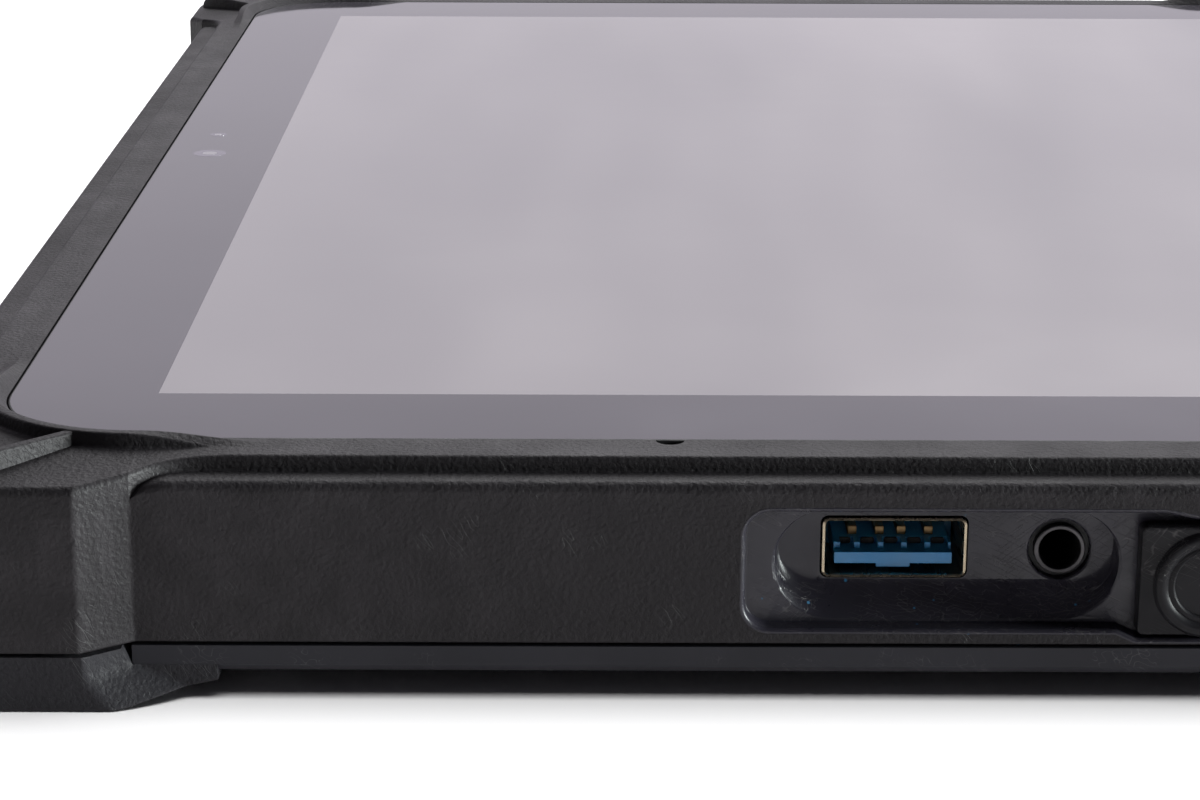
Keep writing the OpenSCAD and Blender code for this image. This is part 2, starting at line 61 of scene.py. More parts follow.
# ---------- sizes, all in millimetres, some read from the CAD nodes -----
glass_lo, glass_hi = box_mm("cover_glass")
cover_lo, cover_hi = box_mm("bottom_cover")
GLASS_X, GLASS_Y, GLASS_Z = glass_hi
SIDE_X, SIDE_Y = cover_hi[:2]
GUARD_X, GUARD_Y, RIDGE_Z = box_mm("front_frame")[1]
RAIL_X, RAIL_Y = SIDE_X - GLASS_X, SIDE_Y - GLASS_Y
OUT_X, OUT_Y = GUARD_X - GLASS_X, GUARD_Y - GLASS_Y
RIM_Z = box_mm("foot_near_left")[1][2]
PARTING_GAP = 0.3
PARTING_Z = RIM_Z + PARTING_GAP
COVER_Z = cover_lo[2]
LEDGE_Z = GLASS_Z - 1.4
GUARD_TOP_Z = LEDGE_Z + 0.35
# Corner radius of the glass, and width of the lip beside it
CORNER_R, LIP_W = 14.0, 5.1
# Places along a side, from the glass's virtual corner: the guard's full width ends, its ramp ends,
# the pocket behind the ridge ends, and a straight run starts
GUARD_RUN, RAMP_END, POCKET_END, STRAIGHT_FROM = 10.0, 14.5, 24.0, 34.0
# Plan radius of a guard, and how far and over what length the ledge falls towards it
GUARD_R, LEDGE_FALL, LEDGE_RUN = 10.0, 2.2, 3.2
KEYS = ("power_key", "volume_up_key", "volume_down_key", "function_key")
LATCHES = ("latch_left", "latch_right")
NOTCH_X, NOTCH_R = -23.7, 1.3
# Edges sharper than this many degrees stay sharp
EDGE_ANGLE = 35.0


# ---------- mesh helpers ----------
def smooth_step(x, lo, hi):
    """0 up to lo, 1 from hi on, and a smooth rise between."""
    t = min(1.0, max(0.0, (x - lo) / (hi - lo)))
    return t * t * (3 - 2 * t)


def fillet(points, radii, steps=4, closed=False):
    """A polyline with its corners rounded, always steps + 1 points to a rounded corner."""
    out, count = [], len(points)
    for i, radius in enumerate(radii):
        here = np.array(points[i], float)
        if not closed and i in (0, count - 1):
            out.append(here)
            continue
        a = np.array(points[i - 1], float) - here
        b = np.array(points[(i + 1) % count], float) - here
        la, lb = np.linalg.norm(a), np.linalg.norm(b)
        if radius <= 0:
            out.append(here)
            continue
        if la < 1e-6 or lb < 1e-6:
            out.extend([here] * (steps + 1))
            continue
        a, b = a / la, b / lb
        half = math.acos(max(-1.0, min(1.0, float(a @ b)))) / 2
        if half > math.pi / 2 - 0.004:
            out.extend([here] * (steps + 1))
            continue
        cut = min(radius / math.tan(half), 0.49 * la, 0.49 * lb)
        middle = here + (a + b) / np.linalg.norm(a + b) * (cut / math.cos(half))
        s, e = here + a * cut - middle, here + b * cut - middle
        turn = math.pi - 2 * half
        for k in range(steps + 1):
            t = k / steps
            arm = math.sin((1 - t) * turn) * s + math.sin(t * turn) * e
            out.append(middle + arm / math.sin(turn))
    return out


def rounded_rect(x0, x1, y0, y1, r, steps=8):
    corners = [(x0, y0), (x1, y0), (x1, y1), (x0, y1)]
    return fillet(corners, [r] * 4, steps, closed=True)


def circle_points(cx, cy, r, count):
    turns = [2 * math.pi * k / count for k in range(count)]
    return [(cx + r * math.cos(t), cy + r * math.sin(t)) for t in turns]


def grow(outline, amount):
    """A closed outline, anticlockwise, moved outwards by amount along its own normals."""
    pts = np.array(outline, float)
    ahead, behind = np.roll(pts, -1, 0) - pts, pts - np.roll(pts, 1, 0)
    ahead /= np.maximum(np.linalg.norm(ahead, axis=1), 1e-9)[:, None]
    behind /= np.maximum(np.linalg.norm(behind, axis=1), 1e-9)[:, None]
    tangent = ahead + behind
    tangent /= np.linalg.norm(tangent, axis=1)[:, None]
    normal = np.stack([tangent[:, 1], -tangent[:, 0]], 1)
    stretch = 1 / np.maximum(0.5, np.sqrt((1 + (ahead * behind).sum(1)) / 2))
    return pts + normal * (amount * stretch)[:, None]


def finish_mesh(bm, name, materials, smooth=EDGE_ANGLE, weld=1e-3):
    """Turns a bmesh in millimetres into an object in metres."""
    if weld:
        bmesh.ops.remove_doubles(bm, verts=bm.verts, dist=weld)
    bmesh.ops.dissolve_degenerate(bm, edges=bm.edges, dist=1e-4)
    bmesh.ops.recalc_face_normals(bm, faces=bm.faces)
    mesh = bpy.data.meshes.new(name)
    bm.to_mesh(mesh)
    bm.free()
    mesh.transform(Matrix.Scale(MM, 4))
    mesh.shade_smooth()
    mesh.set_sharp_from_angle(angle=math.radians(smooth))
    for m in materials if isinstance(materials, (list, tuple)) else [materials]:
        mesh.materials.append(m)
    obj = bpy.data.objects.new(name, mesh)
    bpy.context.scene.collection.objects.link(obj)
    return obj


def keep_flat(obj):
    """Large flat faces keep flat shading beside their rounded edges."""
    mod = obj.modifiers.new("weighted_normals", "WEIGHTED_NORMAL")
    mod.keep_sharp = True
    mod.weight = 100
    return obj


def add_rings(bm, rings, close_rows=False, cap_first=False, cap_last=False, index=0):
    """Joins rings of equal length with quads. Each ring is a closed list of 3D points."""
    made = [[bm.verts.new(p) for p in ring] for ring in rings]
    count = len(made[0])
    pairs = list(zip(made, made[1:]))
    if close_rows:
        pairs.append((made[-1], made[0]))
    for low, high in pairs:
        for j in range(count):
            k = (j + 1) % count
            bm.faces.new((low[j], low[k], high[k], high[j])).material_index = index
    if cap_first:
        bm.faces.new(made[0][::-1]).material_index = index
    if cap_last:
        bm.faces.new(made[-1]).material_index = index
    return made


def fill_between(bm, loops):
    """Fills the flat region inside the first loop of vertices and outside the others."""
    edges = []
    for loop in loops:
        for a, b in zip(loop, loop[1:] + loop[:1]):
            edges.append(bm.edges.get((a, b)) or bm.edges.new((a, b)))
    bmesh.ops.triangle_fill(bm, edges=edges, use_beauty=True, use_dissolve=False)


def add_blocks(bm, corners, edge):
    """Adds blocks, each given by its lowest and highest corner, and rounds every edge in bm."""
    for lo, hi in corners:
        lo, hi = Vector(lo), Vector(hi)
        for v in bmesh.ops.create_cube(bm, size=1.0)["verts"]:
            v.co = (lo + hi) / 2 + Vector(c * d for c, d in zip(v.co, hi - lo))
    bmesh.ops.bevel(bm, geom=bm.edges, offset=edge, segments=2, affect="EDGES", profile=0.5)


def near_ring(outline, y):
    """A closed outline of (x, z) points, stood up at depth y."""
    return [(p[0], y, p[1]) for p in outline]


def carve(obj, cutters):
    """Cuts the cutters' shapes out of obj, then removes the cutters."""
    bpy.context.view_layer.objects.active = obj
    for cutter in cutters:
        mod = obj.modifiers.new("carve", "BOOLEAN")
        mod.operation, mod.solver, mod.object = "DIFFERENCE", "MANIFOLD", cutter
        bpy.ops.object.modifier_apply(modifier=mod.name)
        bpy.data.objects.remove(cutter)
    obj.data.set_sharp_from_angle(angle=math.radians(EDGE_ANGLE))


def prism_cutter(outline, y0, y1):
    """A closed (x, z) outline as a solid between two depths, to cut with."""
    bm = bmesh.new()
    add_rings(bm, [near_ring(outline, y0), near_ring(outline, y1)], cap_first=True, cap_last=True)
    return finish_mesh(bm, "cutter", [])


def place(obj, body, slot_name, *replaced):
    """Makes a piece ride on a body, in place of the CAD nodes named; the slot name is not used."""
    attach(obj, body)
    if replaced:
        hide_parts(*replaced)
    return obj


# ---------- material helpers ----------
class Shader:
    """A node tree with a Principled BSDF and short ways to add the nodes round it."""

    def __init__(self, name, color, roughness, **sockets):
        self.mat = bpy.data.materials.new(name)
        self.mat.use_nodes = True
        self.tree = self.mat.node_tree
        self.bsdf = self.tree.nodes["Principled BSDF"]
        self.bsdf.inputs["Base Color"].default_value = (*color, 1)
        self.bsdf.inputs["Roughness"].default_value = roughness
        for key, value in sockets.items():
            self.bsdf.inputs[key.replace("_", " ")].default_value = value
        self.coords = self.tree.nodes.new("ShaderNodeTexCoord").outputs["Object"]

    def node(self, kind, **values):
        made = self.tree.nodes.new(kind)
        for key, value in values.items():
            setattr(made, key, value)
        return made

    def link(self, a, b):
        self.tree.links.new(a, b)

    def stretched(self, scale, turn=(0, 0, 0)):
        """Object coordinates, scaled along each axis and turned."""
        mapping = self.node("ShaderNodeMapping")
        mapping.inputs["Scale"].default_value = scale
        mapping.inputs["Rotation"].default_value = turn
        self.link(self.coords, mapping.inputs["Vector"])
        return mapping.outputs["Vector"]

    def noise(self, scale, detail=3.0, rough=0.55, vector=None, distortion=0.0):
        made = self.node("ShaderNodeTexNoise")
        made.inputs["Scale"].default_value = scale
        made.inputs["Detail"].default_value = detail
        made.inputs["Roughness"].default_value = rough
        made.inputs["Distortion"].default_value = distortion
        self.link(vector or self.coords, made.inputs["Vector"])
        return made.outputs["Fac"]

    def cells(self, scale, feature="F1"):
        made = self.node("ShaderNodeTexVoronoi", feature=feature)
        made.inputs["Scale"].default_value = scale
        self.link(self.coords, made.inputs["Vector"])
        return made.outputs["Distance"]

    def ramp(self, value, lo, hi, out_lo=0.0, out_hi=1.0):
        """A value between lo and hi, mapped to one between out_lo and out_hi and held there."""
        made = self.node("ShaderNodeMapRange", clamp=True)
        for key, v in (("From Min", lo), ("From Max", hi), ("To Min", out_lo), ("To Max", out_hi)):
            made.inputs[key].default_value = v
        self.link(value, made.inputs["Value"])
        return made.outputs["Result"]

    def math(self, operation, a, b):
        """One operation on two values, each a number or an output."""
        made = self.node("ShaderNodeMath", operation=operation)
        for socket, v in zip(made.inputs, (a, b)):
            if isinstance(v, (int, float)):
                socket.default_value = v
            else:
                self.link(v, socket)
        return made.outputs["Value"]

    def mix(self, factor, a, b):
        """Mixes two colours, each a tuple or an output."""
        made = self.node("ShaderNodeMix", data_type="RGBA")
        self.link(factor, made.inputs[0])
        for socket, v in ((made.inputs[6], a), (made.inputs[7], b)):
            if isinstance(v, tuple):
                socket.default_value = (*v, 1)
            else:
                self.link(v, socket)
        return made.outputs[2]

    def attribute(self, name):
        return self.node("ShaderNodeAttribute", attribute_name=name).outputs["Fac"]

    def color(self, output):
        self.link(output, self.bsdf.inputs["Base Color"])

    def roughness(self, output):
        self.link(output, self.bsdf.inputs["Roughness"])

    def bump(self, height, strength, depth_mm):
        made = self.node("ShaderNodeBump")
        made.inputs["Strength"].default_value = strength
        made.inputs["Distance"].default_value = depth_mm * MM
        self.link(height, made.inputs["Height"])
        self.link(made.outputs["Normal"], self.bsdf.inputs["Normal"])

    def scratches(self, turn, length_mm=9.0, gap_mm=0.5, width=0.02, patchy=0.58):
        """Thin scratches along one way, in patches: 1 on a scratch and 0 elsewhere."""
        along = self.node("ShaderNodeMapping", vector_type="TEXTURE")
        along.inputs["Rotation"].default_value = turn
        along.inputs["Scale"].default_value = (length_mm * MM, gap_mm * MM, gap_mm * MM)
        self.link(self.coords, along.inputs["Vector"])
        lines = self.noise(1.0, 0.0, 0.5, along.outputs["Vector"])
        centred = self.math("ABSOLUTE", self.math("SUBTRACT", lines, 0.5), 0)
        thin = self.ramp(centred, 0.0, width, 1.0, 0.0)
        patches = self.ramp(self.noise(160.0, 1.0), patchy, patchy + 0.1)
        return self.math("MULTIPLY", thin, patches)


def shade(color, amount):
    return tuple(c * amount for c in color)


def grained(name, color, roughness=0.5, grain_mm=0.36, depth=0.13):
    """Moulded plastic or rubber with a fine leather grain, worn paler along its edges."""
    s = Shader(name, color, roughness, Specular_IOR_Level=0.12)
    scale = 1 / (grain_mm * MM)
    wavy = s.noise(scale, 3.0, 0.6, distortion=0.6)
    pits = s.cells(scale * 0.8, feature="SMOOTH_F1")
    height = s.math("ADD", s.math("MULTIPLY", wavy, 0.65), s.math("MULTIPLY", pits, 0.45))
    marks = s.scratches((0.2, 0.9, 0.4), 7.0, 0.6)
    height = s.math("SUBTRACT", height, s.math("MULTIPLY", marks, 0.25))
    s.bump(height, 1.0, depth)
    patchy = s.ramp(s.noise(45.0, 4.0), 0.3, 0.7)
    tone = s.mix(patchy, shade(color, 0.97), shade(color, 1.05))
    dust = s.ramp(s.cells(420.0), 0.018, 0.0, 0.0, 0.35)
    tone = s.mix(dust, tone, (0.32, 0.31, 0.3))
    tone = s.mix(s.math("MULTIPLY", marks, 0.08), tone, (0.2, 0.2, 0.2))
    rubbed = s.math("MULTIPLY", s.attribute("wear"), s.ramp(s.noise(260.0, 4.0), 0.35, 0.65))
    s.color(s.mix(s.math("MULTIPLY", rubbed, 0.35), tone, shade(color, 2.2)))
    s.roughness(s.ramp(s.noise(120.0, 3.0), 0.3, 0.7, roughness - 0.05, roughness + 0.07))
    return s.mat


def satin(name, color, roughness=0.4, coarse_mm=0.8, depth=0.01, scuffs=0.15, **sockets):
    """Smooth moulded plastic or rubber with faint flow marks and scuffs."""
    s = Shader(name, color, roughness, **sockets)
    fine = s.noise(1 / (coarse_mm * MM), 4.0, 0.6)
    marks = s.scratches((0.1, 0.5, 0.7), 8.0, 0.5)
    s.bump(s.math("SUBTRACT", fine, s.math("MULTIPLY", marks, 0.6)), 0.6, depth)
    cloud = s.ramp(s.noise(150.0, 3.0), 0.3, 0.7)
    tone = s.mix(cloud, shade(color, 0.9), shade(color, 1.12))
    s.color(s.mix(s.math("MULTIPLY", marks, scuffs), tone, (0.35, 0.35, 0.36)))
    s.roughness(s.ramp(s.noise(300.0, 3.0), 0.3, 0.7, roughness - 0.06, roughness + 0.1))
    return s.mat


def worn_satin(name, color, roughness=0.3, flecks=520.0, **sockets):
    """Semi-gloss moulding, scratched by plugs, with tiny flecks of blue paint."""
    s = Shader(name, color, roughness, **sockets)
    fine = s.noise(1100.0, 4.0, 0.6)
    marks = s.math("MAXIMUM", s.scratches((0.0, 0.45, 0.0), 6.0, 0.45, 0.018, 0.38),
                   s.scratches((0.0, -0.7, 0.0), 5.0, 0.5, 0.018, 0.44))
    s.bump(s.math("SUBTRACT", fine, s.math("MULTIPLY", marks, 1.2)), 0.7, 0.018)
    cloud = s.ramp(s.noise(190.0, 4.0), 0.3, 0.7)
    tone = s.mix(cloud, shade(color, 0.8), shade(color, 1.25))
    tone = s.mix(s.math("MULTIPLY", marks, 0.22), tone, (0.16, 0.15, 0.15))
    here = s.ramp(s.noise(230.0, 1.0), 0.56, 0.6)
    dots = s.math("MULTIPLY", s.ramp(s.cells(flecks), 0.13, 0.09), here)
    s.color(s.mix(dots, tone, (0.025, 0.14, 0.27)))
    s.roughness(s.ramp(s.noise(350.0, 3.0), 0.3, 0.7, roughness - 0.06, roughness + 0.12))
    return s.mat


def metal(name, color, roughness=0.25, brushed=(900.0, 60.0, 900.0)):
    """Plated or machined metal, brushed one way."""
    s = Shader(name, color, roughness, Metallic=1.0)
    lines = s.noise(1.0, 3.0, 0.6, s.stretched(brushed))
    s.bump(lines, 0.4, 0.006)
    cloud = s.ramp(s.noise(400.0, 3.0), 0.35, 0.7)
    s.color(s.mix(cloud, color, shade(color, 0.82)))
    s.roughness(s.ramp(lines, 0.3, 0.7, roughness - 0.06, roughness + 0.12))
    return s.mat


def glass_margin(name):
    """Polished glass over a printed black margin."""
    s = Shader(name, (0.055, 0.052, 0.058), 0.09, Specular_IOR_Level=0.5)
    s.roughness(s.ramp(s.noise(35.0, 4.0, 0.6), 0.4, 0.75, 0.06, 0.16))
    haze = s.ramp(s.noise(18.0, 3.0), 0.3, 0.75)
    s.color(s.mix(haze, (0.034, 0.03, 0.04), (0.058, 0.052, 0.066)))
    return s.mat


def picture_area(name):
    """The dark display seen through glass, paler than the margin, with soft streaks that are painted
    blurred reflections of the surroundings.
    """
    s = Shader(name, (0.3, 0.28, 0.29), 0.14, Specular_IOR_Level=0.5)
    # Streaks stretched one way and turned a little: painted blurred reflections of the surroundings.
    reflection_streaks = s.noise(1.0, 2.0, 0.5, s.stretched((26.0, 6.0, 20.0), (0, 0, 0.35)))
    soft = s.ramp(reflection_streaks, 0.3, 0.7)
    s.color(s.mix(soft, (0.205, 0.188, 0.203), (0.3, 0.274, 0.286)))
    s.roughness(s.ramp(s.noise(30.0, 3.0), 0.3, 0.7, 0.12, 0.22))
    return s.mat


SHELL = grained("shell_grain", (0.0166, 0.015, 0.0165), 0.5)
FOOT = grained("foot_grain", (0.0195, 0.0185, 0.0215), 0.5)
COVER = satin("cover_satin", (0.019, 0.0185, 0.023), 0.42, coarse_mm=0.5, depth=0.012,
              Specular_IOR_Level=0.15)
BAY = worn_satin("bay_gloss", (0.0165, 0.0152, 0.0215), 0.3, flecks=640.0,
                 Specular_IOR_Level=0.32)
RUBBER = worn_satin("cap_rubber", (0.009, 0.0086, 0.0102), 0.34, flecks=400.0,
                    Specular_IOR_Level=0.13)
# The cap's dish is darker and duller than the rubber round it: painted shade for the hollow.
DISH_SHADE = satin("cap_dish_painted_shade", (0.007, 0.0065, 0.008), 0.5, scuffs=0.0, Specular_IOR_Level=0.1)
KEY = satin("key_rubber_mat", (0.025, 0.025, 0.028), 0.55, coarse_mm=0.25, depth=0.02)
BLACK = satin("black_moulding", (0.012, 0.012, 0.014), 0.35)
DARK = satin("inner_black_and_painted_shade", (0.008, 0.008, 0.009), 0.6)
MARGIN = glass_margin("glass_margin_black")
PICTURE = picture_area("glass_picture")
STEEL = metal("plated_steel", (0.4, 0.335, 0.24), 0.24)
RIM = metal("grey_rim", (0.075, 0.072, 0.075), 0.38)
# The USB contacts' gold is darkened far below the dock contacts' gold: painted shade for contacts deep
# inside the socket.
SHADED_GOLD = metal("gold_plate_painted_shade", (0.24, 0.16, 0.08), 0.4)
GOLD = metal("gold_plate", (0.85, 0.62, 0.28), 0.25)
BRASS = metal("insert_brass_turned", (0.78, 0.6, 0.28), 0.3)
SCREW = metal("black_steel", (0.2, 0.2, 0.21), 0.35)
ALLOY = metal("cast_alloy", (0.5, 0.5, 0.52), 0.5)
COPPER = metal("copper_sheet", (0.8, 0.45, 0.3), 0.35)
BLUE = satin("usb_blue_moulding", (0.012, 0.16, 0.36), 0.35, coarse_mm=0.3, depth=0.006)
BOARD = satin("solder_mask", (0.02, 0.12, 0.05), 0.35, coarse_mm=0.3, depth=0.01)
CERAMIC = satin("fired_ceramic", (0.72, 0.66, 0.52), 0.6)
WHITE = satin("white_sheet", (0.8, 0.8, 0.82), 0.5)
FILM = satin("display_film", (0.2, 0.2, 0.22), 0.2)
LENS = satin("dark_lens", (0.006, 0.006, 0.008), 0.06, Coat_Weight=1.0)
FLASH = satin("flash_yellow", (0.85, 0.78, 0.45), 0.2, Coat_Weight=1.0)
SENSOR = satin("sensor_print", (0.11, 0.095, 0.13), 0.12)


# ---------- the front frame ----------
# The section beside the glass: its gap, the shelf under the glass and the lip's inner edge
GLASS_GAP, GROOVE_Z, TOP_Z = 0.12, GLASS_Z - 1.58, GLASS_Z + 0.02
SHELF_IN, WALL_IN, SHELF_Z = -2.4, 6.0, GLASS_Z - 3.6
# Distances out to the ridge's two shoulders and to the dip beside it
RIDGE_IN, RIDGE_OUT, DIP_OUT, DIP = 1.3, 2.4, 2.65, 0.12
# Places along a side where the ridge's two shoulders and the dip run out, and the guard's top rises
INNER_ENDS, OUTER_ENDS, DIP_ENDS = (15.0, 27.0), (13.0, 22.5), (18.0, 22.0)
TOP_RISES = (8.5, POCKET_END)
# Points of a section, first and last, that are worn paler
WEAR_SPANS = [(13, 18), (28, 33)]
# Plan radii where a guard's ramp meets the side and the guard's full width
RAMP_FOOT_R, GUARD_EDGE_R = 0.7, 0.9


def guard_outline(step):
    """Plan of the side round a corner, as distances from the glass corner along both sides."""
    points = [(STRAIGHT_FROM, -RAIL_Y), (RAMP_END, -RAIL_Y), (GUARD_RUN, -OUT_Y), (-OUT_X, -OUT_Y),
              (-OUT_X, GUARD_RUN), (-RAIL_X, RAMP_END), (-RAIL_X, STRAIGHT_FROM)]
    coarse = fillet(points, [0, RAMP_FOOT_R, GUARD_EDGE_R, GUARD_R, GUARD_EDGE_R, RAMP_FOOT_R, 0], 6)
    fine = [coarse[0]]
    for a, b in zip(coarse, coarse[1:]):
        parts = max(1, math.ceil(np.linalg.norm(b - a) / step))
        fine.extend(a + (b - a) * k / parts for k in range(1, parts + 1))
    return fine


def stations(step=0.6):
    """Rays out from the glass edge round a corner: start, direction, length to the side, place along."""
    rays = []
    for p, q in guard_outline(step):
        if p >= CORNER_R:
            rays.append(((p, 0.0), (0.0, -1.0), -q, p))
        elif q >= CORNER_R:
            rays.append(((0.0, q), (-1.0, 0.0), -p, q))
        else:
            away = np.array([p - CORNER_R, q - CORNER_R])
            reach = float(np.linalg.norm(away))
            way = away / reach
            start = np.array([CORNER_R, CORNER_R]) + way * CORNER_R
            rays.append((tuple(start), tuple(way), reach - CORNER_R, max(p, q)))
    return rays


def top_edge(along, side):
    """How far out the lip or pocket reaches before it drops to the ledge."""
    if along < RAMP_END:
        return side
    left = 1 - min(1.0, (along - RAMP_END) / (POCKET_END - RAMP_END))
    return LIP_W + (side - LIP_W) * left ** 4


def frame_profile(along, side):
    """Section of the frame on one ray, as (distance out, height), a closed loop."""
    rise_in = (RIDGE_Z - GLASS_Z) * (1 - smooth_step(along, *INNER_ENDS))
    rise_out = (RIDGE_Z - GLASS_Z) * (1 - smooth_step(along, *OUTER_ENDS))
    floor = GLASS_Z - DIP * (1 - smooth_step(along, *DIP_ENDS))
    top = GUARD_TOP_Z + (GLASS_Z - GUARD_TOP_Z) * smooth_step(along, *TOP_RISES) ** 0.8
    edge = top_edge(along, side)
    ledge = side - edge
    run = min(1.0, max(0.0, along - RAMP_END) / LEDGE_RUN)
    low = LEDGE_Z - LEDGE_FALL * (1 - math.sin(math.acos(1 - run)))
    foot = (edge + 0.06, low) if ledge > 0.02 else (side, low)
    shoulder = (side, low if ledge > 0.02 else low - 0.4)
    points = [(GLASS_GAP, GROOVE_Z), (GLASS_GAP, TOP_Z), (RIDGE_IN, TOP_Z + 0.97 * rise_in),
              (RIDGE_OUT, GLASS_Z + rise_out), (DIP_OUT, floor), (edge, top), foot, shoulder,
              (side, PARTING_Z), (WALL_IN, PARTING_Z), (WALL_IN, SHELF_Z), (SHELF_IN, SHELF_Z),
              (SHELF_IN, GROOVE_Z)]
    top_r = 0.55 + 0.35 * (1 - smooth_step(along, 10.0, 18.0))
    radii = [0, 0, 0.3, 0.3, 0.35, top_r, 0.3, min(1.0, max(0.05, ledge)), 0.25, 0, 0, 0, 0]
    return fillet(points, radii, 4, closed=True)


def quadrant_rings(sx, sy, sections):
    """The sections round one corner, set up in the quadrant that the signs give."""
    rings = []
    for (start, way, side, along), section in sections:
        ring = []
        for out, z in section:
            p, q = start[0] + way[0] * out, start[1] + way[1] * out
            ring.append((sx * (GLASS_X - p), sy * (GLASS_Y - q), z))
        rings.append(ring)
    return rings


def all_quadrants(sections):
    """Rings right round the case, starting at the middle of the near side."""
    rings = []
    for sx, sy in ((1, -1), (1, 1), (-1, 1), (-1, -1)):
        part = quadrant_rings(sx, sy, sections)
        rings += part if sx * sy < 0 else part[::-1]
    return rings


def rib(bm, sx, sy, swap):
    """A rib from a corner ridge to the guard's outer edge, at 45 degrees."""
    length, base = 12.6, GUARD_TOP_Z - 0.5
    base_half, top_half, top_r = 0.85, 0.5, 0.28
    inner_p, inner_q = 8.6, -0.8
    rings = []
    for t in (0.0, 0.2, 0.4, 0.6, 0.8, 0.9, 0.96, 1.0):
        top = RIDGE_Z - (0.12 + 1.1 * max(0.0, (t - 0.86) / 0.14) ** 2)
        section = fillet([(-base_half, base), (base_half, base), (top_half, top), (-top_half, top)],
                         [0, 0, top_r, top_r], 4, closed=True)
        ring = []
        for across, z in section:
            p = inner_p - (length * t - across) / math.sqrt(2)
            q = inner_q - (length * t + across) / math.sqrt(2)
            if swap:
                p, q = q, p
            ring.append((sx * (GLASS_X - p), sy * (GLASS_Y - q), z))
        rings.append(ring)
    add_rings(bm, rings, cap_first=True, cap_last=True)


def guard_ribs():
    """Two ribs on each corner guard."""
    bm = bmesh.new()
    bm.verts.layers.float.new("wear")
    for sx in (-1, 1):
        for sy in (-1, 1):
            rib(bm, sx, sy, False)
            rib(bm, sx, sy, True)
    ribs = keep_flat(finish_mesh(bm, "guard_ribs", SHELL))
    place(ribs, CASE, "shell_plastic")


# Boxes of what lies in the port bay
flap_lo, flap_hi = box_mm("power_cover")
anchor_lo, anchor_hi = box_mm("cover_anchor")
usb_lo, usb_hi = box_mm("usb_shell")
rim_lo, rim_hi = box_mm("audio_rim")
socket_lo, socket_hi = box_mm("power_socket")
FACE_Y = -SIDE_Y
LEDGE_Y = FACE_Y + 2.0
FLOOR_Y = FACE_Y + 4.3
EDGE_R, COVER_GAP = 0.45, 0.28
# Edges of the bay's outline, which widens at its right into a recess round the rubber cover
BAY_LEFT, BAY_END = usb_lo[0] - 7.1, flap_lo[0] - 0.55
BAY_TOP, BAY_BOTTOM = GLASS_Z - 4.05, GLASS_Z - 15.05
RECESS_RIGHT = anchor_hi[0] + 0.3
RECESS_BOTTOM, RECESS_TOP = flap_lo[2] - COVER_GAP, anchor_hi[2] + COVER_GAP
AUDIO_AT = ((rim_lo[0] + rim_hi[0]) / 2, (rim_lo[2] + rim_hi[2]) / 2)
POWER_AT = ((socket_lo[0] + socket_hi[0]) / 2, (socket_lo[2] + socket_hi[2]) / 2)


def bay_outline():
    """The recess round the sockets, as (x, z) seen from the near side, anticlockwise."""
    corners = [(BAY_LEFT, BAY_BOTTOM), (BAY_END - 1.2, BAY_BOTTOM), (BAY_END + 0.5, RECESS_BOTTOM),
               (RECESS_RIGHT, RECESS_BOTTOM), (RECESS_RIGHT, RECESS_TOP), (BAY_END + 7.5, RECESS_TOP),
               (BAY_END + 2.5, BAY_TOP), (BAY_LEFT, BAY_TOP)]
    return fillet(corners, [2.3, 1.2, 0.7, 0.8, 0.8, 3.0, 3.0, 2.3], 8, closed=True)


def key_cutters():
    """Slots for the keys in the far side, a little smaller than the keys' flanges."""
    cutters = []
    for name in KEYS:
        lo, hi = box_mm(name)
        hole = rounded_rect(lo[0] + 0.5, hi[0] - 0.5, lo[2] + 0.5, hi[2] - 0.5, 1.4)
        cutters.append(prism_cutter(hole, SIDE_Y - 4, SIDE_Y + 1))
    return cutters


def notch_cutter():
    """The microphone's notch in the lip."""
    bm = bmesh.new()
    notch = circle_points(NOTCH_X, -GLASS_Y - 0.2, NOTCH_R, 32)
    rings = [[(x, y, z) for x, y in notch] for z in (GLASS_Z - 0.9, GLASS_Z + 1)]
    add_rings(bm, rings, cap_first=True, cap_last=True)
    return finish_mesh(bm, "cutter", [])


def front_frame():
    """The frame's section carried right round the case, with its openings cut."""
    sections = [(ray, frame_profile(ray[3], ray[2])) for ray in stations()]
    bm = bmesh.new()
    wear = bm.verts.layers.float.new("wear")
    for ring in add_rings(bm, all_quadrants(sections), close_rows=True):
        for first, last in WEAR_SPANS:
            for v in ring[first:last]:
                v[wear] = 1.0
    shell = finish_mesh(bm, "front_frame_shell", SHELL)
    bay = prism_cutter(grow(bay_outline(), EDGE_R), FACE_Y - 1, FACE_Y + 3.2)
    carve(shell, [bay, notch_cutter()] + key_cutters())
    place(keep_flat(shell), CASE, "shell_plastic", "front_frame")


# ---------- the port bay ----------
def turned(centre, profile, steps):
    """Rings about an axis along Y, from (radius, depth) pairs."""
    return [near_ring(circle_points(*centre, r, steps), y) for r, y in profile]


def inset_rings(x0, x1, z0, z1, steps, r, least_r):
    """Rounded rectangles at (inset, depth) steps, with corners that tighten with the inset."""
    return [near_ring(rounded_rect(x0 + d, x1 - d, z0 + d, z1 - d, max(r - d, least_r)), y)
            for d, y in steps]


def recess_rings():
    """The rounded rim of the recess, and its wall down to the ledge."""
    outer = bay_outline()
    rings = []
    for k in range(5):
        a = math.pi / 2 * k / 4
        rings.append(near_ring(grow(outer, EDGE_R * (1 - math.sin(a))),
                               FACE_Y + EDGE_R * (1 - math.cos(a))))
    for inset, above in ((0.0, 0.35), (0.1, 0.1), (0.35, 0.0)):
        rings.append(near_ring(grow(outer, -inset), LEDGE_Y - above))
    return rings


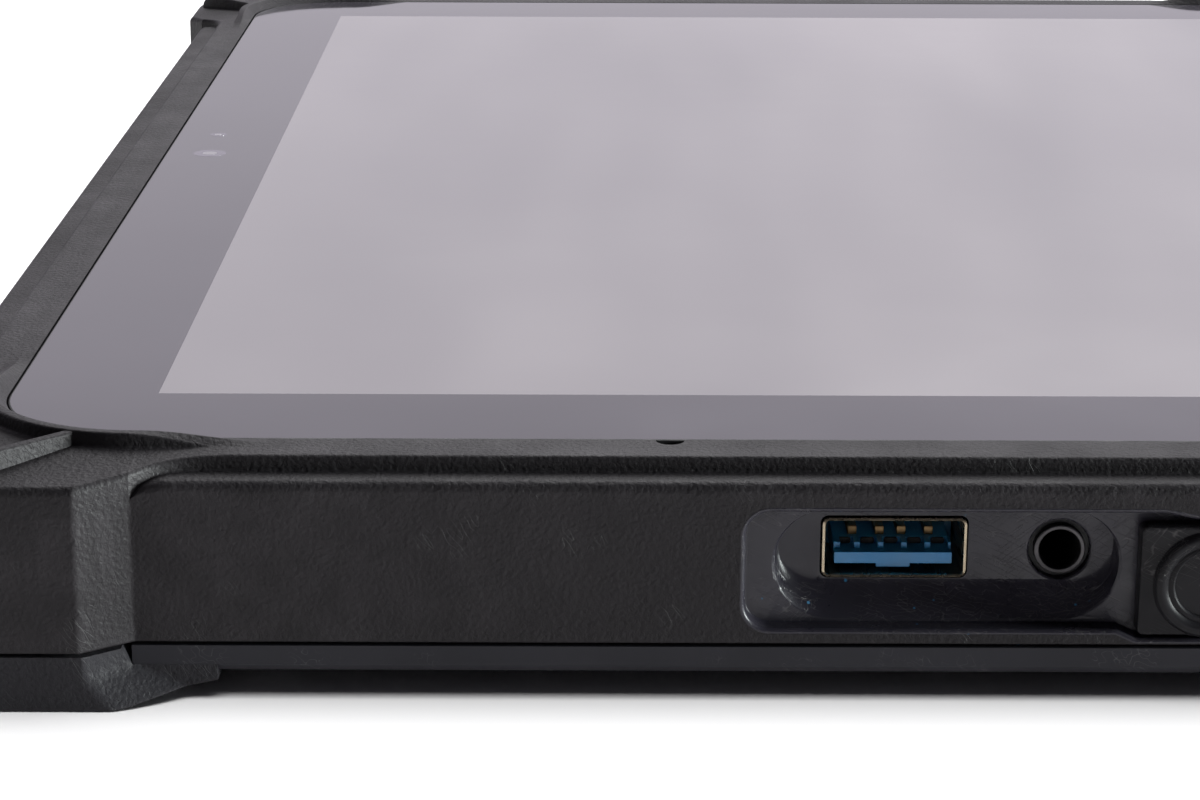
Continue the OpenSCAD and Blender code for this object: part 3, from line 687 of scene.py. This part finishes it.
def pocket_rings():
    """The deeper pocket round the sockets, with a sloped lower wall."""
    left, right = BAY_LEFT + 2.75, BAY_END - 1.0
    low, high = BAY_BOTTOM + 0.5, BAY_TOP - 0.38
    # Insets at the left, right, bottom and top, then corner radius and depth
    walls = [(-0.25, -0.25, -0.15, -0.02, 5.4, LEDGE_Y),
             (0.0, 0.0, 0.1, 0.0, 5.2, LEDGE_Y + 0.2),
             (0.05, 0.05, 1.3, 0.0, 5.1, LEDGE_Y + 1.35),
             (0.06, 0.06, 1.38, 0.01, 5.05, LEDGE_Y + 1.37),
             (0.1, 0.1, 1.6, 0.02, 5.0, LEDGE_Y + 1.6),
             (0.3, 0.25, 2.4, 0.04, 4.6, FLOOR_Y - 0.15),
             (0.55, 0.5, 2.75, 0.1, 4.3, FLOOR_Y)]
    rings = []
    for a, b, c, d, r, y in walls:
        rings.append(near_ring(rounded_rect(left + a, right - b, low + c, high - d, r, 14), y))
    return rings


def port_bay():
    """The lining of the recess and its pocket, with holes for the sockets."""
    bm = bmesh.new()
    ledge = add_rings(bm, recess_rings())[-1]
    pocket = add_rings(bm, pocket_rings())
    inlet = add_rings(bm, turned(POWER_AT, [(4.4, LEDGE_Y), (4.4, LEDGE_Y + 3)], 48))
    fill_between(bm, [ledge, pocket[0], inlet[0]])
    gap, deep = 0.12, FLOOR_Y + 3
    shell = rounded_rect(usb_lo[0] - gap, usb_hi[0] + gap, usb_lo[2] - gap, usb_hi[2] + gap, 0.75)
    usb_hole = add_rings(bm, [near_ring(shell, FLOOR_Y), near_ring(shell, deep)])
    jack = [(3.0, FLOOR_Y), (2.86, FLOOR_Y + 0.1), (2.8, FLOOR_Y + 0.3), (2.8, deep)]
    jack_hole = add_rings(bm, turned(AUDIO_AT, jack, 64))
    fill_between(bm, [pocket[-1], usb_hole[0], jack_hole[0]])
    bay = finish_mesh(bm, "port_bay_lining", BAY)
    # The sheet is open, so its faces are turned towards the near side before it is thickened
    facing = [f for f in bay.data.polygons if abs(f.normal.y) > 0.99]
    if sum(f.normal.y * f.area for f in facing) > 0:
        bay.data.flip_normals()
    backing = bay.modifiers.new("backing", "SOLIDIFY")
    backing.thickness, backing.offset = 0.3 * MM, -1.0
    place(keep_flat(bay), CASE, "shell_plastic")


# Middle of the USB socket, underside and half width of its tongue, and spacing of the tongue's teeth
USB_MIDDLE = (usb_lo[0] + usb_hi[0]) / 2
TONGUE_Z, TONGUE_HALF = usb_lo[2] + 1.02, 5.35
TOOTH_PITCH = 2.14


def usb_shell():
    """Plated shell with a rolled front edge."""
    x0, front, z0 = usb_lo
    x1, back, z1 = usb_hi
    wall = 0.36
    steps = [(0.0, back), (0.0, front + 0.2), (0.06, front + 0.06), (0.18, front), (0.28, front + 0.06),
             (wall, front + 0.25), (wall, back - 0.3)]
    bm = bmesh.new()
    add_rings(bm, inset_rings(x0, x1, z0, z1, steps, 0.72, 0.36), cap_first=True, cap_last=True)
    shell = keep_flat(finish_mesh(bm, "usb_shell_plated", STEEL, weld=0))
    place(shell, CASE, "socket_steel", "usb_shell")


def usb_tongue():
    """Blue tongue with a keyed front edge, six teeth above it and a block behind."""
    front, back = usb_lo[1], usb_hi[1]
    left, right = USB_MIDDLE - TONGUE_HALF, USB_MIDDLE + TONGUE_HALF
    low, end = TONGUE_Z, back - 0.6
    parts = [((left, front + 1.0, low), (right, end, low + 1.1)),
             ((USB_MIDDLE - 1.55, front + 1.0, low - 0.34), (USB_MIDDLE + 1.55, end, low + 0.1)),
             ((USB_MIDDLE - 6.05, front + 8.2, usb_lo[2] + 0.4),
              (USB_MIDDLE + 6.05, back - 0.5, usb_hi[2] - 0.4))]
    for i in range(6):
        at = left + TOOTH_PITCH * i - (0.28 if i else 0)
        wide = 0.62 if i in (0, 5) else 0.56
        parts.append(((at, front + 2.0, low + 1.0), (min(at + wide, right), end, low + 1.72)))
    parts.append(((left, front + 3.6, low + 1.0), (right, end, low + 1.7)))
    bm = bmesh.new()
    add_blocks(bm, parts, 0.08)
    tongue = keep_flat(finish_mesh(bm, "usb_tongue_moulding", BLUE, weld=0))
    place(tongue, CASE, "usb_blue", "usb_tongue")


def usb_slot_shade():
    """Dark inserts at the back of the slots between the tongue's teeth: painted shade for the slots'
    depth.
    """
    front = usb_lo[1]
    bm = bmesh.new()
    for i in range(5):
        at = USB_MIDDLE - 4.3 + TOOTH_PITCH * i
        outline = rounded_rect(at - 0.62, at + 0.62, TONGUE_Z + 1.14, TONGUE_Z + 1.66, 0.2, 4)
        add_rings(bm, [near_ring(outline, front + 3.7), near_ring(outline, front + 3.35),
                       near_ring(grow(outline, -0.05), front + 3.3)], cap_first=True, cap_last=True)
    pits = keep_flat(finish_mesh(bm, "usb_slot_painted_shade", DARK, weld=0))
    place(pits, CASE, "black_plastic")


def usb_contacts():
    """Four contacts on the tongue's upper side."""
    front, half = usb_lo[1], 0.42
    contacts = []
    for dx in (-3.5, -1.0, 1.0, 3.5):
        at = USB_MIDDLE + dx
        contacts.append(((at - half, front + 4.2, TONGUE_Z + 1.66),
                         (at + half, front + 8.3, TONGUE_Z + 2.5)))
    bm = bmesh.new()
    add_blocks(bm, contacts, 0.12)
    # The contacts take the darkened gold: painted shade inside the socket.
    springs = keep_flat(finish_mesh(bm, "usb_spring_contacts", SHADED_GOLD, weld=0))
    place(springs, CASE, "gold_contact", "usb_contacts")


def audio_jack():
    """Metal rim with a rounded front, and the socket's body behind it."""
    front, bore = rim_lo[1], 1.8
    rim = [(bore, front + 3.0), (2.36, front + 3.0), (2.36, front + 0.18), (2.3, front + 0.05),
           (2.2, front), (1.95, front + 0.05), (1.83, front + 0.2), (bore, front + 0.45)]
    body = [(2.75, FLOOR_Y + 3.2), (2.75, FLOOR_Y + 0.75), (2.4, FLOOR_Y + 0.7), (bore, FLOOR_Y + 0.7),
            (bore, FLOOR_Y + 13.0), (2.75, FLOOR_Y + 13.0)]
    for name, profile, material, slot_name, node in (
            ("audio_rim_ring", rim, RIM, "socket_steel", "audio_rim"),
            ("audio_socket_body", body, DARK, "black_plastic", "audio_socket")):
        bm = bmesh.new()
        add_rings(bm, turned(AUDIO_AT, profile, 72), close_rows=True)
        place(keep_flat(finish_mesh(bm, name, material, weld=0)), CASE, slot_name, node)


# ---------- the power socket's rubber cover ----------
# Depths and heights of its plate, then (inset, depth) steps from its back to its softened face
COVER_BACK, COVER_FACE = FACE_Y + 1.7, FACE_Y + 0.1
COVER_LOW, COVER_HIGH = flap_lo[2], anchor_hi[2]
PLATE = [(0.0, COVER_BACK), (0.0, COVER_FACE + 0.35), (0.1, COVER_FACE + 0.1), (0.35, COVER_FACE)]
PLATE_R, PLATE_LEAST_R = 0.6, 0.3


def cover_flap():
    """Flap with a round dished cap on it and a spigot behind."""
    bm = bmesh.new()
    plate = inset_rings(flap_lo[0], flap_hi[0], COVER_LOW, COVER_HIGH, PLATE, PLATE_R, PLATE_LEAST_R)
    add_rings(bm, plate, cap_first=True, cap_last=True)
    face, proud, cap_r = COVER_FACE, flap_lo[1], 4.88
    ring = [(cap_r + 0.3, face + 0.3), (cap_r + 0.12, face - 0.02), (cap_r, face - 0.12),
            (cap_r - 0.1, proud + 0.2), (cap_r - 0.3, proud + 0.05), (cap_r - 0.6, proud),
            (cap_r - 0.95, proud + 0.08), (cap_r - 1.15, proud + 0.3), (cap_r - 1.3, proud + 0.38),
            (cap_r - 1.5, proud + 0.3), (3.2, proud + 0.28), (3.05, proud + 0.38), (2.95, proud + 0.7)]
    dish = ring[-1:] + [(2.8, proud + 1.3), (2.3, proud + 1.62), (1.2, proud + 1.78), (0.2, proud + 1.8)]
    add_rings(bm, turned(POWER_AT, ring, 72), cap_first=True)
    # The dish's faces take the darker, duller second finish: painted shade in the hollow.
    add_rings(bm, turned(POWER_AT, dish, 72), cap_last=True, index=1)
    bmesh.ops.remove_doubles(bm, verts=bm.verts, dist=1e-4)
    spigot = [(2.4, COVER_BACK - 0.2), (2.4, COVER_BACK + 2.2), (2.2, COVER_BACK + 2.5),
              (0.4, COVER_BACK + 2.55)]
    add_rings(bm, turned(POWER_AT, spigot, 48), cap_first=True, cap_last=True)
    flap = keep_flat(finish_mesh(bm, "power_cover_flap", [RUBBER, DISH_SHADE], weld=0))
    place(flap, "power_cover", "cover_rubber", "power_cover")


def cover_anchor():
    """Block beside the flap, with a counterbore for its screw."""
    bm = bmesh.new()
    plate = inset_rings(anchor_lo[0], anchor_hi[0], COVER_LOW, COVER_HIGH, PLATE, PLATE_R, PLATE_LEAST_R)
    add_rings(bm, plate, cap_first=True, cap_last=True)
    anchor = finish_mesh(bm, "cover_anchor_block", RUBBER, weld=0)
    screw_lo, screw_hi = box_mm("anchor_screw")
    screw_x, screw_z = (screw_lo[0] + screw_hi[0]) / 2, (screw_lo[2] + screw_hi[2]) / 2
    bore = circle_points(screw_x, screw_z, 1.95, 40)
    carve(anchor, [prism_cutter(bore, COVER_FACE - 1, COVER_BACK - 0.7)])
    place(keep_flat(anchor), CASE, "cover_rubber", "cover_anchor")


def cover_strap():
    """Thin web between the flap and the anchor, divided along its length into narrow strips."""
    from_x, to_x = flap_hi[0], anchor_lo[0]
    bm = bmesh.new()
    web = rounded_rect(from_x - 0.8, to_x + 0.8, COVER_LOW + 1.0, COVER_HIGH - 1.0, 0.3)
    add_rings(bm, [near_ring(web, COVER_BACK - 0.1), near_ring(web, COVER_BACK - 0.7)],
              cap_first=True, cap_last=True)
    across = [e for e in bm.edges if abs(e.verts[0].co.x - e.verts[1].co.x) > 0.5]
    bmesh.ops.subdivide_edges(bm, edges=across, cuts=8, use_grid_fill=True)
    strap = finish_mesh(bm, "cover_strap", RUBBER, weld=0)
    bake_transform(strap)


# ---------- glass ----------
# How far the display panel reaches past its picture area, and how far off the area's middle it sits
PANEL_PAST_X, PANEL_PAST_Y, PANEL_OFF_X = 6.3, 5.0, 0.6
# The camera and the light sensor: radius of each window
WINDOWS = {"front_camera": 2.1, "light_sensor": 1.1}


def cover_glass():
    """Glass slab with a softened edge; its top carries the picture area as its own face."""
    lcd_lo, lcd_hi = box_mm("lcd_panel")
    middle = (lcd_lo[0] + lcd_hi[0]) / 2 - PANEL_OFF_X
    half_x = (lcd_hi[0] - lcd_lo[0]) / 2 - PANEL_PAST_X
    half_y = (lcd_hi[1] - lcd_lo[1]) / 2 - PANEL_PAST_Y
    bm = bmesh.new()
    steps = [(0.0, glass_lo[2]), (0.0, GLASS_Z - 0.22), (0.07, GLASS_Z - 0.07), (0.22, GLASS_Z)]
    rings = []
    for d, z in steps:
        outline = rounded_rect(-GLASS_X + d, GLASS_X - d, -GLASS_Y + d, GLASS_Y - d, CORNER_R - d, 16)
        rings.append([(x, y, z) for x, y in outline])
    # The glass's side and softened edge take the dull near-black finish: painted shade for the dark line
    # where the glass meets the lip.
    made = add_rings(bm, rings, cap_first=True, index=2)
    picture = [bm.verts.new((middle + x * half_x, y * half_y, GLASS_Z))
               for x, y in ((-1, -1), (1, -1), (1, 1), (-1, 1))]
    fill_between(bm, [made[-1], picture])
    bm.faces.new(picture).material_index = 1
    glass = keep_flat(finish_mesh(bm, "cover_glass_sheet", [MARGIN, PICTURE, DARK]))
    place(glass, CASE, "screen_glass", "cover_glass")


def margin_sensors():
    """The camera and light sensor windows in the glass margin, each a disc with a lens on it."""
    for node, radius in WINDOWS.items():
        lo, hi = box_mm(node)
        x, y = (lo[0] + hi[0]) / 2, (lo[1] + hi[1]) / 2
        bm = bmesh.new()
        for index, (r, low, high) in enumerate(((radius, 0.3, 0.008), (radius * 0.45, 0.2, 0.014))):
            disc = circle_points(x, y, r, 48)
            rings = [[(a, b, z) for a, b in disc] for z in (GLASS_Z - low, GLASS_Z + high)]
            add_rings(bm, rings, cap_first=True, cap_last=True, index=index)
        place(finish_mesh(bm, node + "_window", [SENSOR, LENS]), CASE, "screen_glass")


# ---------- feet ----------
# Places along the side: end of the flat underside, and the small slot beside the cover
FLAT_END, SLOT_FROM, SLOT_DOWN, SLOT_END = 13.0, 13.45, 14.05, 14.3
# Height of the slot's floor, the cover's chamfer, and how far past the glass's edge a foot starts
SLOT_Z, CHAMFER, SEAT_IN = 3.7, 0.8, 2.45
# Below this height the foot's ramp leans outwards along the side
LEAN_Z, LEAN_FROM, LEAN_TO = 3.3, 2.7, 7.5
# The arm's underside rises ARM_RISE over ARM_RUN but never above ARM_TOP, and the arm ends at ARM_END
ARM_RISE, ARM_RUN, ARM_TOP, ARM_END = 1.75, 8.2, 1.9, 22.0


def foot_reach(along, z, out, side):
    """How far a foot's face stands from the glass at a place along the side and a height."""
    drop = 1 - min(1.0, z / LEAN_Z)
    ramp_from = GUARD_RUN + 0.3 + LEAN_FROM * drop
    ramp_to = RAMP_END + LEAN_TO * drop
    t = min(1.0, max(0.0, (along - ramp_from) / (ramp_to - ramp_from)))
    return out - (out - side) * t


def foot_under(along):
    """Height of a foot's underside: flat to the guard's ramp, then rising along the arm."""
    if along <= FLAT_END:
        return 0.0
    return min(ARM_TOP, ARM_RISE * (along - FLAT_END) / ARM_RUN)


def foot_top(along):
    """Height of a foot's outer face: up to the rim, down to a small slot, then to the cover's chamfer."""
    if along <= SLOT_FROM:
        return RIM_Z
    if along <= SLOT_DOWN:
        return RIM_Z - (RIM_Z - SLOT_Z) * (along - SLOT_FROM) / (SLOT_DOWN - SLOT_FROM)
    return SLOT_Z if along <= SLOT_END else COVER_Z + CHAMFER - 0.02


def foot_profile(ray):
    """Section of a foot on one ray, as (distance out, height), a closed loop."""
    start, way, side, along = ray
    under = foot_under(along)
    top = foot_top(along)
    near_side = abs(way[1]) > abs(way[0])
    axis = 1 if near_side else 0
    out, rail = (OUT_Y, RAIL_Y) if near_side else (OUT_X, RAIL_X)
    points = []
    for k in range(9):
        z = under + (top - under) * k / 8
        reach = side
        if along > GUARD_RUN - 1:
            reach = (-foot_reach(along, z, out, rail) - start[axis]) / way[axis]
        points.append((reach, z))
    inner = (-SEAT_IN - start[axis]) / way[axis]
    bottom_in = fillet([(points[0][0] - 1.2, under), points[0], points[1]], [0, 0.5, 0], 3)
    seat = COVER_Z - 0.02 if along > SLOT_END else top
    back = [(points[-1][0] - (top - seat) - 0.02, seat), (inner, seat)]
    return [(inner, under)] + [tuple(b) for b in bottom_in[1:-1]] + points[1:] + back


def feet():
    """The four rubber feet, one mirrored into each corner."""
    rays = [r for r in stations(0.3) if r[3] <= ARM_END]
    sections = [(r, foot_profile(r)) for r in rays]
    for name, sx, sy in (("foot_near_left", -1, -1), ("foot_near_right", 1, -1),
                         ("foot_far_left", -1, 1), ("foot_far_right", 1, 1)):
        bm = bmesh.new()
        bm.verts.layers.float.new("wear")
        add_rings(bm, quadrant_rings(sx, sy, sections), cap_first=True, cap_last=True)
        foot = keep_flat(finish_mesh(bm, name + "_pad", FOOT, smooth=50))
        place(foot, CASE, "foot_rubber", name)


# ---------- CAD nodes that keep their shape ----------
KEPT = {
    COVER: ("bottom_cover", "battery_pack"),
    RUBBER: ("case_seal", "key_mat"),
    BLACK: ("power_socket", "battery_terminals", "dock_block", "speaker_near", "speaker_far",
            "front_camera", "light_sensor"),
    KEY: KEYS + LATCHES,
    DARK: ("glass_tape",),
    FILM: ("lcd_panel",),
    WHITE: ("backlight_unit",),
    ALLOY: ("chassis_plate", "shield_cans", "rear_camera", "key_switches"),
    BOARD: ("main_board", "key_board", "storage_card", "radio_card", "gnss_module"),
    CERAMIC: ("gnss_antenna",),
    COPPER: ("heat_spreader", "radio_antenna"),
    STEEL: ("power_pin", "board_screws", "anchor_screw"),
    SCREW: ("case_screws",),
    BRASS: ("mount_inserts",),
    GOLD: ("dock_contacts",),
    LENS: ("camera_window",),
    FLASH: ("flash_lens",),
}
SOFT_EDGED = {"battery_pack": 0.5, "dock_block": 0.25, "camera_window": 0.15}
SOFT_EDGED.update({name: 0.3 for name in KEYS})
SOFT_EDGED.update({name: 0.15 for name in LATCHES})


def soften(obj, width_mm):
    """Rounds a node's edges, and keeps its flat faces flat."""
    mod = obj.modifiers.new("soft_edges", "BEVEL")
    mod.width, mod.segments = width_mm * MM, 3
    mod.limit_method, mod.angle_limit = "ANGLE", math.radians(40)
    keep_flat(obj)


def dress_cad_nodes():
    """Gives each kept node its material, and some of them softer edges."""
    for material, names in KEPT.items():
        for name in names:
            mesh = nodes[name].data
            mesh.materials.clear()
            mesh.materials.append(material)
    for name, width in SOFT_EDGED.items():
        soften(nodes[name], width)


# ---------- floor, light and camera ----------
DARK_SKY, PALE_SKY = (0.05, 0.048, 0.055), (0.86, 0.815, 0.9)
# Where the sky's change of tone starts and ends, from 0 at the near horizon to 1 at the far one
SKY_STOPS = (0.48, 0.8)
FLOOR_HALF, FLOOR_Z = 3.0, -0.00002
COOL = (0.93, 1.0, 0.98)


def pale_floor():
    """A plain floor just under the feet."""
    bm = bmesh.new()
    corners = [(-1, -1), (1, -1), (1, 1), (-1, 1)]
    bm.faces.new([bm.verts.new((x * FLOOR_HALF, y * FLOOR_HALF, FLOOR_Z)) for x, y in corners])
    mesh = bpy.data.meshes.new("floor")
    bm.to_mesh(mesh)
    bm.free()
    floor = bpy.data.objects.new("floor", mesh)
    bpy.context.scene.collection.objects.link(floor)
    s = Shader("pale_floor", (0.88, 0.88, 0.88), 0.9)
    s.color(s.mix(s.noise(3.0, 2.0), (0.87, 0.87, 0.87), (0.9, 0.9, 0.9)))
    mesh.materials.append(s.mat)
    return floor


def studio():
    """Floor, sky and three soft lamps, of which one lights only the floor and one leaves it out."""
    floor = pale_floor()
    bpy.context.scene.world = sky()
    lamp("back", at=(0.1, 1.0, 1.05), target=(0, 0, 0), size=0.8, power=11)
    over = lamp("over_floor", at=(0.0, -0.3, 1.6), target=(0, -0.1, 0), size=1.4, power=36)
    side = lamp("right", at=(1.1, -0.14, 0.14), target=(0, -0.13, 0.01), size=0.4, power=74,
                color=COOL)
    for light, state in ((over, "INCLUDE"), (side, "EXCLUDE")):
        receivers = bpy.data.collections.new(light.name + "_receivers")
        receivers.objects.link(floor)
        receivers.collection_objects[0].light_linking.link_state = state
        light.light_linking.receiver_collection = receivers


def sky():
    """Pale behind the object, dark overhead and on the camera's side."""
    world = bpy.data.worlds.new("soft_studio")
    world.use_nodes = True
    tree = world.node_tree
    coords = tree.nodes.new("ShaderNodeTexCoord")
    split = tree.nodes.new("ShaderNodeSeparateXYZ")
    ramp = tree.nodes.new("ShaderNodeValToRGB")
    for stop, position, color in zip(ramp.color_ramp.elements, SKY_STOPS, (DARK_SKY, PALE_SKY)):
        stop.position, stop.color = position, (*color, 1)
    half = tree.nodes.new("ShaderNodeMapRange")
    half.inputs["From Min"].default_value, half.inputs["From Max"].default_value = -1.0, 1.0
    tree.links.new(coords.outputs["Generated"], split.inputs["Vector"])
    tree.links.new(split.outputs["Y"], half.inputs["Value"])
    tree.links.new(half.outputs["Result"], ramp.inputs["Fac"])
    tree.links.new(ramp.outputs["Color"], tree.nodes["Background"].inputs["Color"])
    return world


def lamp(name, at, target, size, power, color=(1.0, 1.0, 1.0)):
    """A square area lamp at a place, turned to a target, in metres."""
    data = bpy.data.lights.new(name, "AREA")
    data.shape, data.size, data.energy, data.color = "SQUARE", size, power, color
    obj = bpy.data.objects.new(name, data)
    obj.location = at
    obj.rotation_mode = "QUATERNION"
    obj.rotation_quaternion = (Vector(target) - Vector(at)).to_track_quat("-Z", "Y")
    bpy.context.scene.collection.objects.link(obj)
    return obj


# The camera stands off the near side, left of the middle, and looks down along the case.
# Its place is in millimetres and its angles in degrees.
CAMERA_AT = (-30.61, -388.94, 105.19)
CAMERA_YAW, CAMERA_PITCH, CAMERA_ROLL = -0.111, 16.621, 0.228
CAMERA_LENS = 91.9


def camera():
    """The camera, turned by its yaw, then its pitch down, then its roll."""
    yaw, pitch, roll = (math.radians(a) for a in (CAMERA_YAW, CAMERA_PITCH, CAMERA_ROLL))
    ahead = Vector((-math.sin(yaw) * math.cos(pitch), math.cos(yaw) * math.cos(pitch),
                    -math.sin(pitch)))
    level = Vector((math.cos(yaw), math.sin(yaw), 0))
    upright = level.cross(ahead)
    right = math.cos(roll) * level + math.sin(roll) * upright
    up = math.cos(roll) * upright - math.sin(roll) * level
    data = bpy.data.cameras.new("camera")
    data.lens, data.sensor_width = CAMERA_LENS, 36.0
    data.clip_start, data.clip_end = 0.01, 20.0
    obj = bpy.data.objects.new("camera", data)
    turn = Matrix((right, up, -ahead)).transposed().to_4x4()
    obj.matrix_world = Matrix.Translation(Vector(CAMERA_AT) * MM) @ turn
    bpy.context.scene.collection.objects.link(obj)
    bpy.context.scene.camera = obj


camera()
studio()
dress_cad_nodes()
front_frame()
guard_ribs()
port_bay()
usb_shell()
usb_tongue()
usb_slot_shade()
usb_contacts()
audio_jack()
cover_flap()
cover_anchor()
cover_strap()
cover_glass()
margin_sensors()
feet()
bpy.context.scene.view_settings.view_transform = "Standard"
